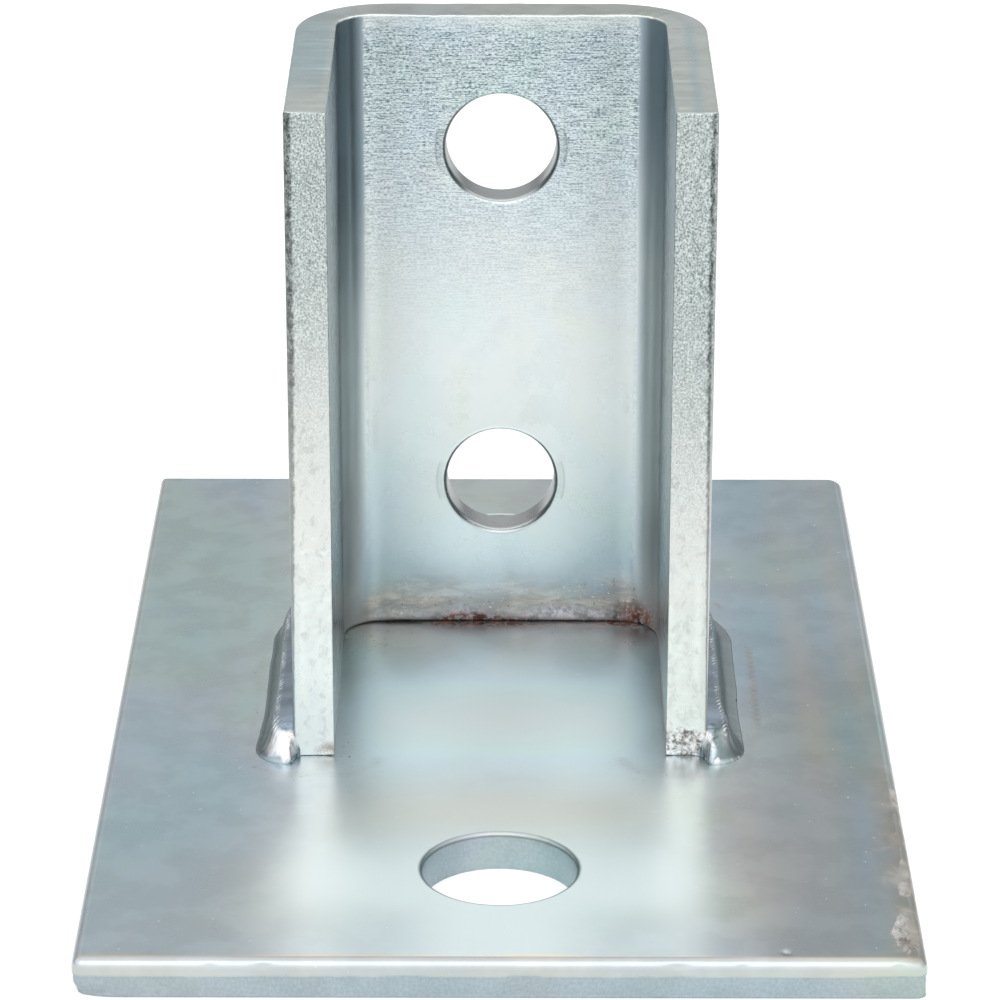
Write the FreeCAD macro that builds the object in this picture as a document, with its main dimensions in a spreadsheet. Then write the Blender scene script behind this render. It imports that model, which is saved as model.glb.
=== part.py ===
import FreeCAD, Part
import Sketcher
import os

# Strut post base: a flat plate, a folded U bracket that takes the end of a strut post, and the fillet weld
# that runs round the outside of the bracket's foot.
# Frame: origin at the middle of the plate's underside, +Z up, the bracket opens towards -Y.

doc = FreeCAD.newDocument("StrutPostBase")

# Every driving size in millimetres, and one share.
SIZES = (
    ("plate_width", "101.6", "flat bar, across the view"),
    ("plate_length", "152.4", "flat bar, along the view"),
    ("plate_thick", "5.0", "flat bar"),
    ("plate_roll", "0.9", "rounding that blanking leaves on the plate's top edge"),
    ("corner_extra", "0.3", "how much more the plate's upright corners are rounded"),
    ("anchor_hole", "19.05", "diameter of the holes for the floor anchors"),
    ("anchor_pitch", "104.0", "distance between the anchor holes"),
    ("anchor_roll", "0.5", "rounding at the top of the anchor holes"),
    ("post_width", "41.3", "square strut that stands in the bracket"),
    ("post_slack", "0.85", "room on each side of the strut"),
    ("bracket_wall", "5.3", "sheet of the bracket"),
    ("bracket_height", "87.3", "bracket above the plate"),
    ("bend_inside", "5.0", "inside radius of the two bends"),
    ("bend_outside", "12.5", "outside radius of the bends, where the sheet is drawn a little thinner"),
    ("bracket_back", "1.1", "middle of the strut behind the middle of the plate"),
    ("shear_roll", "1.1", "rounding on the outer edge of the sheared flange ends"),
    ("top_break", "0.4", "rounding round the bracket's top edge"),
    ("web_hole", "14.7", "diameter of the bolt holes in the web"),
    ("web_flare", "1.1", "how much wider a bolt hole is at the web's inner face"),
    ("web_flare_deep", "0.8", "depth of that wider mouth"),
    ("web_hole_low", "21.2", "lower bolt hole above the plate"),
    ("web_hole_pitch", "47.6", "distance between the bolt holes"),
    ("weld_leg", "5.0", "weld along the plate"),
    ("weld_rise", "5.0", "weld up the bracket"),
    ("weld_crown", "9.0", "radius of the weld's rounded face"),
    ("weld_overrun", "2.4", "weld past the flange ends"),
    ("weld_end", "0.44", "rounding at the ends of the weld, as a share of its shorter leg"),
    ("cut_past", "2.0", "a cutting shape past the face it leaves"),
)

sheet = doc.addObject("Spreadsheet::Sheet", "Sizes")
for row, (alias, text, note) in enumerate(SIZES, start=1):
    sheet.set("A%d" % row, alias)
    sheet.set("B%d" % row, text)
    sheet.setAlias("B%d" % row, alias)
    sheet.set("C%d" % row, note)
doc.recompute()

# Sizes that several features share, as formulas of the sheet.
SEAT = "(Sizes.post_width + 2 * Sizes.post_slack)"
BEND_CENTRE = "(%s / 2 + Sizes.bracket_wall - Sizes.bend_outside)" % SEAT

# The points of a sketch curve, numbered from the whole curve on, and the sketch's own axes and origin.
WHOLE, START, END, CENTRE = range(4)
H_AXIS, V_AXIS = range(-1, -3, -1)
ORIGIN = (H_AXIS, START)

QUARTER_TURN, FULL_TURN = 90, 360

# How near a measured place has to be to a stated one.
NEAR = 1e-4

# A cut takes away at least this much, in cubic millimetres.
LEAST_CUT = 1.0


def size(alias):
    return float(sheet.get(alias))


def origin_part(body, role):
    return next(item for item in body.Origin.OriginFeatures if item.Role == role)


def new_body(name, label):
    body = doc.addObject("PartDesign::Body", name)
    body.Label = label
    return body


def new_sketch(body, name, role):
    sketch = body.newObject("Sketcher::SketchObject", name)
    sketch.AttachmentSupport = [(origin_part(body, role), "")]
    sketch.MapMode = "FlatFace"
    return sketch


def fix(sketch, name, formula, kind, *where):
    # A named dimension that follows a formula of the sheet.
    index = sketch.addConstraint(Sketcher.Constraint(kind, *where, 1.0))
    sketch.renameConstraint(index, name)
    sketch.setExpression(".Constraints." + name, formula)


def tie(sketch, kind, *where):
    sketch.addConstraint(Sketcher.Constraint(kind, *where))


def point(x, y):
    return FreeCAD.Vector(x, y, 0)


def line(sketch, first, last):
    return sketch.addGeometry(Part.LineSegment(point(*first), point(*last)), False)


def arc(sketch, first, middle, last):
    return sketch.addGeometry(Part.Arc(point(*first), point(*middle), point(*last)), False)


def circle(sketch, middle, radius):
    return sketch.addGeometry(Part.Circle(point(*middle), FreeCAD.Vector(0, 0, 1), radius), False)


def edge_names(shape, wanted):
    return ["Edge%d" % number for number, edge in enumerate(shape.Edges, start=1) if wanted(edge)]


def round_edges(body, name, formula, wanted):
    # Rounds every edge of the body so far that fits the test.
    doc.recompute()
    base = body.Tip
    names = edge_names(base.Shape, wanted)
    if not names:
        raise RuntimeError("no edge found for " + name)
    fillet = body.newObject("PartDesign::Fillet", name)
    fillet.Base = (base, names)
    fillet.setExpression("Radius", formula)


def at(value, target):
    return abs(value - target) < NEAR


def is_upright(edge):
    box = edge.BoundBox
    return box.XLength < NEAR and box.YLength < NEAR and box.ZLength > NEAR


def in_level(edge, level):
    return at(edge.BoundBox.ZMin, level) and at(edge.BoundBox.ZMax, level)


def is_circle(edge):
    return isinstance(edge.Curve, Part.Circle)


def must_remove(before, body, name):
    doc.recompute()
    if body.Shape.Volume > before - LEAST_CUT:
        raise RuntimeError(name + " cuts nothing")


# The plate: a blank with rounded corners, a rolled top edge and a hole near each end.
plate = new_body("BasePlate", "base_plate")
outline = new_sketch(plate, "PlateOutline", "XY_Plane")
half_wide, half_long = size("plate_width") / 2, size("plate_length") / 2
corners = ((-half_wide, -half_long), (half_wide, -half_long), (half_wide, half_long), (-half_wide, half_long))
sides = [line(outline, corners[k], corners[(k + 1) % len(corners)]) for k in range(len(corners))]
front, right, back, left = sides
for first, last in zip(sides, sides[1:] + sides[:1]):
    tie(outline, "Coincident", first, END, last, START)
for side in (front, back):
    tie(outline, "Horizontal", side)
for side in (right, left):
    tie(outline, "Vertical", side)
tie(outline, "Symmetric", front, START, right, END, *ORIGIN)
fix(outline, "wide", "Sizes.plate_width", "DistanceX", front, START, front, END)
fix(outline, "long", "Sizes.plate_length", "DistanceY", right, START, right, END)

blank = plate.newObject("PartDesign::Pad", "PlateBlank")
blank.Profile = outline
blank.setExpression("Length", "Sizes.plate_thick")
round_edges(plate, "PlateCorners", "Sizes.plate_roll + Sizes.corner_extra", is_upright)
doc.recompute()

anchors = new_sketch(plate, "AnchorHoles", "XY_Plane")
holes = [circle(anchors, (0, way * size("anchor_pitch") / 2), size("anchor_hole") / 2) for way in (-1, 1)]
tie(anchors, "PointOnObject", holes[0], CENTRE, V_AXIS)
tie(anchors, "Equal", *holes)
tie(anchors, "Symmetric", holes[0], CENTRE, holes[1], CENTRE, *ORIGIN)
fix(anchors, "bore", "Sizes.anchor_hole", "Diameter", holes[0])
fix(anchors, "pitch", "Sizes.anchor_pitch", "DistanceY", holes[0], CENTRE, holes[1], CENTRE)
solid_before = plate.Shape.Volume
drill = plate.newObject("PartDesign::Pocket", "AnchorBores")
drill.Profile = anchors
drill.Type = "ThroughAll"
drill.Reversed = True
must_remove(solid_before, plate, "AnchorBores")

plate_top = size("plate_thick")
round_edges(plate, "AnchorRims", "Sizes.anchor_roll",
            lambda edge: in_level(edge, plate_top) and is_circle(edge) and edge.isClosed())
round_edges(plate, "PlateRoll", "Sizes.plate_roll",
            lambda edge: in_level(edge, plate_top) and not edge.isClosed())

# The bracket: one folded sheet. Its own origin is at the middle of the strut's seat, at the foot.
bracket = new_body("ChannelBracket", "channel_bracket")
bracket.setExpression("Placement.Base.y", "Sizes.bracket_back")
bracket.setExpression("Placement.Base.z", "Sizes.plate_thick")
fold = new_sketch(bracket, "FoldSection", "XY_Plane")
inside, outside = size("bend_inside"), size("bend_outside")
seat_half = size("post_width") / 2 + size("post_slack")
outer_half = seat_half + size("bracket_wall")
inner_turn, outer_turn = seat_half - inside, outer_half - outside


def bend(sketch, way, centre, radius):
    # A quarter turn about the centre of a bend, from the right round to the left.
    beside, behind = (way * (centre + radius), centre), (way * centre, centre + radius)
    middle = centre + radius * 0.5 ** 0.5
    ends = (beside, behind) if way > 0 else (behind, beside)
    return arc(sketch, ends[0], (way * middle, middle), ends[1])


left_outer = line(fold, (-outer_half, -seat_half), (-outer_half, outer_turn))
left_bend = bend(fold, -1, outer_turn, outside)
web_outer = line(fold, (-outer_turn, outer_half), (outer_turn, outer_half))
right_bend = bend(fold, 1, outer_turn, outside)
right_outer = line(fold, (outer_half, outer_turn), (outer_half, -seat_half))
right_end = line(fold, (outer_half, -seat_half), (seat_half, -seat_half))
right_inner = line(fold, (seat_half, -seat_half), (seat_half, inner_turn))
right_root = bend(fold, 1, inner_turn, inside)
web_inner = line(fold, (inner_turn, seat_half), (-inner_turn, seat_half))
left_root = bend(fold, -1, inner_turn, inside)
left_inner = line(fold, (-seat_half, inner_turn), (-seat_half, -seat_half))
left_end = line(fold, (-seat_half, -seat_half), (-outer_half, -seat_half))
for joint in ((left_outer, END, left_bend, END), (left_bend, START, web_outer, START),
              (web_outer, END, right_bend, END), (right_bend, START, right_outer, START),
              (right_inner, END, right_root, START), (right_root, END, web_inner, START),
              (web_inner, END, left_root, START), (left_root, END, left_inner, START)):
    tie(fold, "Tangent", *joint)
for joint in ((right_outer, END, right_end, START), (right_end, END, right_inner, START),
              (left_inner, END, left_end, START), (left_end, END, left_outer, START)):
    tie(fold, "Coincident", *joint)
for side in (left_outer, right_outer, right_inner, left_inner):
    tie(fold, "Vertical", side)
for side in (web_outer, web_inner, left_end):
    tie(fold, "Horizontal", side)
for pair in ((left_bend, right_bend), (left_root, right_root)):
    tie(fold, "Equal", *pair)
tie(fold, "Symmetric", left_inner, END, right_inner, START, V_AXIS)
tie(fold, "Symmetric", left_outer, START, right_outer, END, V_AXIS)
fix(fold, "seat", SEAT, "DistanceX", left_inner, END, right_inner, START)
fix(fold, "wall", "Sizes.bracket_wall", "DistanceX", left_end, END, left_end, START)
fix(fold, "web_wall", "Sizes.bracket_wall", "DistanceY", web_inner, END, web_outer, START)
fix(fold, "root", "Sizes.bend_inside", "Radius", right_root)
fix(fold, "bend", "Sizes.bend_outside", "Radius", right_bend)
fix(fold, "web", SEAT + " / 2", "DistanceY", *ORIGIN, web_inner, START)
fix(fold, "reach", SEAT + " / 2", "DistanceY", right_inner, START, *ORIGIN)

sheet_metal = bracket.newObject("PartDesign::Pad", "FoldedSheet")
sheet_metal.Profile = fold
sheet_metal.setExpression("Length", "Sizes.bracket_height")
doc.recompute()

# A punched bolt hole: straight, with a short wider mouth at the web's inner face.
# Its axis is the sketch's own.
punch = new_sketch(bracket, "PunchSection", "YZ_Plane")
punch.setExpression("AttachmentOffset.Base.y", "Sizes.web_hole_low")
past = size("cut_past")
bore, flare = size("web_hole") / 2, (size("web_hole") + size("web_flare")) / 2
stops = ((seat_half - past, 0), (outer_half + past, 0), (outer_half + past, bore),
         (seat_half + size("web_flare_deep"), bore), (seat_half, flare), (seat_half - past, flare))
lines = [line(punch, stops[k], stops[(k + 1) % len(stops)]) for k in range(len(stops))]
axis, leave, straight, cone, mouth, enter = lines
for first, last in zip(lines, lines[1:] + lines[:1]):
    tie(punch, "Coincident", first, END, last, START)
for side in (axis, straight, mouth):
    tie(punch, "Horizontal", side)
for side in (leave, enter):
    tie(punch, "Vertical", side)
tie(punch, "PointOnObject", axis, START, H_AXIS)
fix(punch, "bore", "Sizes.web_hole / 2", "DistanceY", leave, START, leave, END)
fix(punch, "mouth", "(Sizes.web_hole + Sizes.web_flare) / 2", "DistanceY", enter, END, enter, START)
fix(punch, "deep", "Sizes.web_flare_deep", "DistanceX", cone, END, cone, START)
fix(punch, "face", SEAT + " / 2", "DistanceX", *ORIGIN, mouth, START)
fix(punch, "before", "Sizes.cut_past", "DistanceX", mouth, END, mouth, START)
fix(punch, "after", "Sizes.bracket_wall + Sizes.cut_past", "DistanceX", mouth, START, leave, START)
solid_before = bracket.Shape.Volume
low_hole = bracket.newObject("PartDesign::Groove", "LowHole")
low_hole.Profile = punch
low_hole.ReferenceAxis = (punch, ["H_Axis"])
low_hole.Angle = FULL_TURN
must_remove(solid_before, bracket, "LowHole")

solid_before = bracket.Shape.Volume
web_holes = bracket.newObject("PartDesign::LinearPattern", "WebHoles")
web_holes.Originals = [low_hole]
web_holes.Direction = (origin_part(bracket, "Z_Axis"), [""])
web_holes.Occurrences = 2
web_holes.setExpression("Length", "Sizes.web_hole_pitch")
bracket.Tip = web_holes
must_remove(solid_before, bracket, "WebHoles")

# The sheared flange ends are rounded on their outer edge, and the top edge is broken all round.
local_front = -seat_half
round_edges(bracket, "ShearRoll", "Sizes.shear_roll",
            lambda edge: is_upright(edge) and at(abs(edge.BoundBox.XMin), outer_half) and
            at(edge.BoundBox.YMin, local_front))
round_edges(bracket, "TopBreak", "Sizes.top_break", lambda edge: in_level(edge, size("bracket_height")))

# The weld: one bead along one flange, round the bends and the web, and along the other flange.
# It shares the bracket's origin, and each section sketch has its own at the centre of a bend's outside.
weld = new_body("WeldBead", "weld_bead")
weld.setExpression("Placement.Base.y", "Sizes.bracket_back")
weld.setExpression("Placement.Base.z", "Sizes.plate_thick")


def bead_section(name, role, way):
    # Root at the foot of the bracket, one leg on the plate, one up the bracket, and a rounded face between.
    sketch = new_sketch(weld, name, role)
    leg, rise, crown = size("weld_leg"), size("weld_rise"), size("weld_crown")
    root, toe = way * outside, way * (outside + leg)
    chord = FreeCAD.Vector(root - toe, rise, 0)
    out = FreeCAD.Vector(way * rise, leg, 0).normalize()
    sag = crown - (crown ** 2 - (chord.Length / 2) ** 2) ** 0.5
    swell = point((root + toe) / 2, rise / 2) + out * sag
    foot = line(sketch, (toe, 0), (root, 0))
    side = line(sketch, (root, 0), (root, rise))
    face = arc(sketch, (root, rise), (swell.x, swell.y), (toe, 0))
    top_end, toe_end = (START, END) if way < 0 else (END, START)
    tie(sketch, "Coincident", foot, END, side, START)
    tie(sketch, "Coincident", side, END, face, top_end)
    tie(sketch, "Coincident", face, toe_end, foot, START)
    tie(sketch, "Horizontal", foot)
    tie(sketch, "Vertical", side)
    tie(sketch, "PointOnObject", foot, END, H_AXIS)
    if way < 0:
        fix(sketch, "root", "Sizes.bend_outside", "DistanceX", foot, END, *ORIGIN)
        fix(sketch, "leg", "Sizes.weld_leg", "DistanceX", foot, START, foot, END)
    else:
        fix(sketch, "root", "Sizes.bend_outside", "DistanceX", *ORIGIN, foot, END)
        fix(sketch, "leg", "Sizes.weld_leg", "DistanceX", foot, END, foot, START)
    fix(sketch, "rise", "Sizes.weld_rise", "DistanceY", side, START, side, END)
    fix(sketch, "crown", "Sizes.weld_crown", "Radius", face)
    return sketch


side_section = bead_section("SideSection", "XZ_Plane", -1)
side_section.setExpression("AttachmentOffset.Base.x", "-" + BEND_CENTRE)
side_section.setExpression("AttachmentOffset.Base.z", "-" + BEND_CENTRE)
side_bead = weld.newObject("PartDesign::Pad", "SideBead")
side_bead.Profile = side_section
side_bead.setExpression("Length", "%s + %s / 2 + Sizes.weld_overrun" % (BEND_CENTRE, SEAT))
doc.recompute()

bend_bead = weld.newObject("PartDesign::Revolution", "BendBead")
bend_bead.Profile = side_section
bend_bead.ReferenceAxis = (side_section, ["V_Axis"])
bend_bead.Angle = QUARTER_TURN
bend_bead.Reversed = True
doc.recompute()

back_section = bead_section("BackSection", "YZ_Plane", 1)
back_section.setExpression("AttachmentOffset.Base.x", BEND_CENTRE)
back_section.setExpression("AttachmentOffset.Base.z", "-" + BEND_CENTRE)
back_bead = weld.newObject("PartDesign::Pad", "BackBead")
back_bead.Profile = back_section
back_bead.setExpression("Length", "2 * " + BEND_CENTRE)
doc.recompute()

both_sides = weld.newObject("PartDesign::Mirrored", "BothSides")
both_sides.Originals = [side_bead, bend_bead]
both_sides.MirrorPlane = (origin_part(weld, "YZ_Plane"), [""])
weld.Tip = both_sides
doc.recompute()

bead_front = -(seat_half + size("weld_overrun"))
round_edges(weld, "BeadEnds", "Sizes.weld_end * min(Sizes.weld_leg; Sizes.weld_rise)",
            lambda edge: is_circle(edge) and at(edge.BoundBox.YMin, bead_front) and
            at(edge.BoundBox.YMax, bead_front))
doc.recompute()

# Nothing is written unless every object came out whole.
for item in doc.Objects:
    if "Invalid" in item.State or "Error" in item.State:
        raise RuntimeError("failed: " + item.Name)
    if item.TypeId == "Sketcher::SketchObject" and not item.FullyConstrained:
        raise RuntimeError("loose sketch: " + item.Name)
bodies = (plate, bracket, weld)
for body in bodies:
    if body.Shape.isNull() or not body.Shape.isValid() or len(body.Shape.Solids) != 1:
        raise RuntimeError("bad shape: " + body.Label)

os.makedirs("parts", exist_ok=True)
for body in bodies:
    body.Shape.exportStep("parts/%s.step" % body.Label)
    box = body.Shape.optimalBoundingBox()
    reach = (box.XMin, box.XMax, box.YMin, box.YMax, box.ZMin, box.ZMax)
    print(body.Label, "volume %.0f" % body.Shape.Volume, "x %.2f %.2f y %.2f %.2f z %.2f %.2f" % reach)
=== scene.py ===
import math
import bpy
import bmesh
from mathutils import Matrix, Vector, noise
from mathutils.geometry import delaunay_2d_cdt


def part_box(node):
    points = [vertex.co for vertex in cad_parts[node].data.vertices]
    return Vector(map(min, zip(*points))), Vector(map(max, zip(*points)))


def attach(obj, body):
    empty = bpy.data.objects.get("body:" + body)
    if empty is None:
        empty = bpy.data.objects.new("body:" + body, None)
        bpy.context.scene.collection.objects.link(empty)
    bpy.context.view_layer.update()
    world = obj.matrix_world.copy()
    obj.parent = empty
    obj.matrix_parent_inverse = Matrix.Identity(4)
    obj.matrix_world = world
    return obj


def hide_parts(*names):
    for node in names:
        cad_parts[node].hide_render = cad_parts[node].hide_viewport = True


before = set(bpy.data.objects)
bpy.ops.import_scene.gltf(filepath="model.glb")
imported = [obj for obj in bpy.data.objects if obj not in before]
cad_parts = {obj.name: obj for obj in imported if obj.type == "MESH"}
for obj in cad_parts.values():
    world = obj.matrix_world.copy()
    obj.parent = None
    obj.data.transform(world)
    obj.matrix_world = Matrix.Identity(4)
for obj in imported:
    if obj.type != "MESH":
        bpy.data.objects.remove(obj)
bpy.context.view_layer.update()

# Shapes are worked out in millimetres and turned into metres when a mesh is made.
MM = 0.001
# Points of a mesh that lie closer than this are one point.
SAME_SPOT = 0.002


def node_box(node):
    low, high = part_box(node)
    return [value / MM for value in low], [value / MM for value in high]


PLATE_LOW, PLATE_HIGH = node_box("base_plate")
BRACKET_LOW, BRACKET_HIGH = node_box("channel_bracket")
WELD_LOW, WELD_HIGH = node_box("weld_bead")

# Sizes of the part, in millimetres.
PLATE_THICK = PLATE_HIGH[2]
ANCHOR_BORE = 19.05 / 2
ANCHOR_Y = 52
ANCHOR_ROLL = 0.5
WALL = 5.3
BEND_INSIDE = 5
BEND_OUTSIDE = 12.5
SHEAR_ROLL = 1.1
TOP_BREAK = 0.4
WEB_BORE = 14.7 / 2
WEB_FLARE = 0.55
WEB_FLARE_DEEP = 0.8
WEB_HOLES = (21.2, 68.8)

OUTER_HALF = BRACKET_HIGH[0]
SEAT_HALF = OUTER_HALF - WALL
BEND_CENTRE = OUTER_HALF - BEND_OUTSIDE
ROOT_CENTRE = SEAT_HALF - BEND_INSIDE
LEAD = ROOT_CENTRE - BEND_CENTRE
FRONT_Y = BRACKET_LOW[1]
SEAT_Y = FRONT_Y + SEAT_HALF
HEIGHT = BRACKET_HIGH[2] - BRACKET_LOW[2]
FLANGE_RUN = SEAT_HALF + BEND_CENTRE
ROOT_RUN = 2 * LEAD + math.pi / 2 * BEND_INSIDE
BEND_RUN = (ROOT_RUN + math.pi / 2 * BEND_OUTSIDE) / 2
WEB_RUN = 2 * BEND_CENTRE
SHEET_RUN = 2 * FLANGE_RUN + 2 * BEND_RUN + WEB_RUN
FOOT_RUN = 2 * FLANGE_RUN + math.pi * BEND_OUTSIDE + WEB_RUN
WELD_LEG = WELD_HIGH[0] - OUTER_HALF
WELD_RISE = WELD_HIGH[2] - WELD_LOW[2]
WELD_OVERRUN = FRONT_Y - WELD_LOW[1]

BOTTOM, RIGHT, TOP, LEFT = range(4)
# Where a point of a sheet lies: on a face, on the outline, on a sheared end or in a hole.
FACE, RIM, END, BORE = range(4)


def clamp(value, low=0, high=1):
    return max(low, min(high, value))


def smooth(value, low, high):
    # Rises gently from 0 at low to 1 at high, also where low is the larger number.
    t = clamp((value - low) / (high - low))
    return t * t * (3 - 2 * t)


def bell(value, centre, width):
    return math.exp(-((value - centre) / width) ** 2)


def grain(x, y, z, size):
    # Smooth noise between about -1 and 1 whose lumps are about size across.
    return noise.fractal(Vector((x / size, y / size, z / size)), 0.9, 2, 3)


def quarter_round(depth, radius):
    # How far a rounded edge has drawn back, at a depth into the rounding.
    t = clamp(depth / radius)
    return radius * (1 - math.sqrt(max(0, 1 - t * t)))


def rounded_loop(left, bottom, right, top, radii, counts, turns=6):
    # An anticlockwise loop of points: (u, v, outward u, outward v, side).
    corners = ((left, bottom, 180), (right, bottom, 270), (right, top, 0), (left, top, 90))
    ahead = ((1, 0), (0, 1), (-1, 0), (0, -1))
    outward = ((0, -1), (1, 0), (0, 1), (-1, 0))
    loop = []
    for side, (u, v, start) in enumerate(corners):
        radius = radii[side]
        cu = u + radius * (1 if u == left else -1)
        cv = v + radius * (1 if v == bottom else -1)
        for k in range(turns):
            share = (k + 0.5) / turns
            angle = math.radians(start + 90 * share)
            c, s = math.cos(angle), math.sin(angle)
            owner = side if share > 0.5 else (side - 1) % 4
            loop.append((cu + radius * c, cv + radius * s, c, s, owner))
        length = right - left if side in (BOTTOM, TOP) else top - bottom
        run = length - radius - radii[(side + 1) % 4]
        du, dv = ahead[side]
        for k in range(counts[side] + 1):
            place = radius + run * k / counts[side]
            loop.append((u + du * place, v + dv * place, *outward[side], side))
    return loop


def inside_loop(loop, u, v):
    # Whether a point lies inside a closed loop: a ray from it crosses the loop an odd number of times.
    inside = False
    for (u1, v1, _), (u2, v2, _) in zip(loop, loop[1:] + loop[:1]):
        if (v1 > v) != (v2 > v) and u < u1 + (u2 - u1) * (v - v1) / (v2 - v1):
            inside = not inside
    return inside


# Distances of the rings of points from a hole and from the outline, and where the rows start.
HOLE_RINGS = (0.12, 0.3, 0.5, 0.68, 0.78, 0.88, 0.98, 1.2)
EDGE_RINGS = (0.3, 0.75)
ROWS_START = 1.1


class Sheet:
    # A plate or folded sheet: rings of points through its thickness, closed by a fine cap on each side.
    def __init__(self, place):
        self.place = place
        self.points = []
        self.faces = []
        self.spots = []

    def add(self, u, v, w, rim):
        self.points.append(self.place(u, v, w))
        self.spots.append((u, v, w, rim))
        return len(self.points) - 1

    def wall(self, rings, flip):
        for lower, upper in zip(rings, rings[1:]):
            count = len(lower)
            for k in range(count):
                n = (k + 1) % count
                quad = (lower[k], lower[n], upper[n], upper[k])
                self.faces.append(quad[::-1] if flip else quad)

    def fill(self, flat, box, spacing, circles, skips=()):
        # Staggered rows of points over a box, clear of the holes and of areas that are filled more finely.
        left, bottom, right, top = box
        rows = int((top - bottom) / spacing)
        columns = int((right - left) / spacing)
        clear = HOLE_RINGS[-1] + spacing * 0.5
        for row in range(rows + 1):
            for column in range(columns + 1):
                u = left + (right - left) * (column + 0.5 * (row % 2)) / columns
                v = bottom + (top - bottom) * row / rows
                if u > right or any(area[0] < u < area[2] and area[1] < v < area[3] for area in skips):
                    continue
                if all(math.hypot(u - cu, v - cv) > radius + clear for cu, cv, radius in circles):
                    flat.append((u, v))

    def cap(self, w, outline, holes, spacing, flip, fines):
        # outline and holes are lists of (u, v, index); fines are boxes with a closer spacing of their own.
        loops = [outline] + holes
        flat = [(u, v) for loop in loops for u, v, _ in loop]
        known = [index for loop in loops for _, _, index in loop]
        edges = []
        for loop in loops:
            first, count = len(edges), len(loop)
            edges += [(first + k, first + (k + 1) % count) for k in range(count)]
        circles = []
        for loop in holes:
            cu = sum(p[0] for p in loop) / len(loop)
            cv = sum(p[1] for p in loop) / len(loop)
            radius = max(math.hypot(p[0] - cu, p[1] - cv) for p in loop)
            circles.append((cu, cv, radius))
            for ring in HOLE_RINGS:
                grow = 1 + ring / radius
                flat += [(cu + (p[0] - cu) * grow, cv + (p[1] - cv) * grow) for p in loop]
        left, right = min(p[0] for p in outline), max(p[0] for p in outline)
        bottom, top = min(p[1] for p in outline), max(p[1] for p in outline)
        for ring in EDGE_RINGS:
            for u, v, _ in outline:
                flat.append((clamp(u, left + ring, right - ring), clamp(v, bottom + ring, top - ring)))
        rows = (left + ROWS_START, bottom + ROWS_START, right - ROWS_START, top - ROWS_START)
        self.fill(flat, rows, spacing, circles, fines)
        for area in fines:
            self.fill(flat, area[:4], area[4], circles)
        out = delaunay_2d_cdt([Vector(p) for p in flat], edges, [], 1, 1e-5)
        places, triangles, sources = out[0], out[2], out[3]
        index = []
        for place, source in zip(places, sources):
            named = [known[k] for k in source if k < len(known)]
            index.append(named[0] if named else self.add(place[0], place[1], w, FACE))
        for triangle in triangles:
            mu = sum(places[k][0] for k in triangle) / 3
            mv = sum(places[k][1] for k in triangle) / 3
            if any(math.hypot(mu - cu, mv - cv) < radius and inside_loop(loop, mu, mv)
                   for loop, (cu, cv, radius) in zip(holes, circles)):
                continue
            face = [index[k] for k in triangle]
            if len(set(face)) == 3:
                self.faces.append(face[::-1] if flip else face)


def make_sheet(place, levels, loop_at, holes, hole_at, hole_points, spacings, fines):
    sheet = Sheet(place)
    rings, hole_rings = [], [[] for _ in holes]
    for w in levels:
        rings.append([(u, v, sheet.add(u, v, w, kind)) for u, v, kind in loop_at(w)])
        for hole, (cu, cv) in enumerate(holes):
            loop = []
            for k in range(hole_points):
                angle = 2 * math.pi * k / hole_points
                radius = hole_at(hole, angle, w)
                u, v = cu + radius * math.cos(angle), cv + radius * math.sin(angle)
                loop.append((u, v, sheet.add(u, v, w, BORE)))
            hole_rings[hole].append(loop)
    sheet.wall([[p[2] for p in ring] for ring in rings], False)
    for loops in hole_rings:
        sheet.wall([[p[2] for p in loop] for loop in loops], True)
    for which in (0, -1):
        inner_loops = [loops[which] for loops in hole_rings]
        sheet.cap(levels[which], rings[which], inner_loops, spacings[which], which == 0, fines[which])
    return sheet


def make_object(name, points, faces, node, material, marks):
    # marks has one dictionary of named numbers for each point, which the material reads.
    mesh = bpy.data.meshes.new(name)
    mesh.from_pydata([(x * MM, y * MM, z * MM) for x, y, z in points], [], faces)
    for title in marks[0]:
        layer = mesh.attributes.new(title, "FLOAT", "POINT")
        layer.data.foreach_set("value", [mark[title] for mark in marks])
    shape = bmesh.new()
    shape.from_mesh(mesh)
    bmesh.ops.remove_doubles(shape, verts=shape.verts[:], dist=SAME_SPOT * MM)
    bmesh.ops.dissolve_degenerate(shape, edges=shape.edges[:], dist=SAME_SPOT * MM)
    bmesh.ops.recalc_face_normals(shape, faces=shape.faces[:])
    shape.to_mesh(mesh)
    shape.free()
    mesh.polygons.foreach_set("use_smooth", [True] * len(mesh.polygons))
    mesh.update()
    piece = bpy.data.objects.new(name, mesh)
    bpy.context.scene.collection.objects.link(piece)
    mesh.materials.append(material)
    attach(piece, "root")
    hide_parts(node)


# Materials


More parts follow.
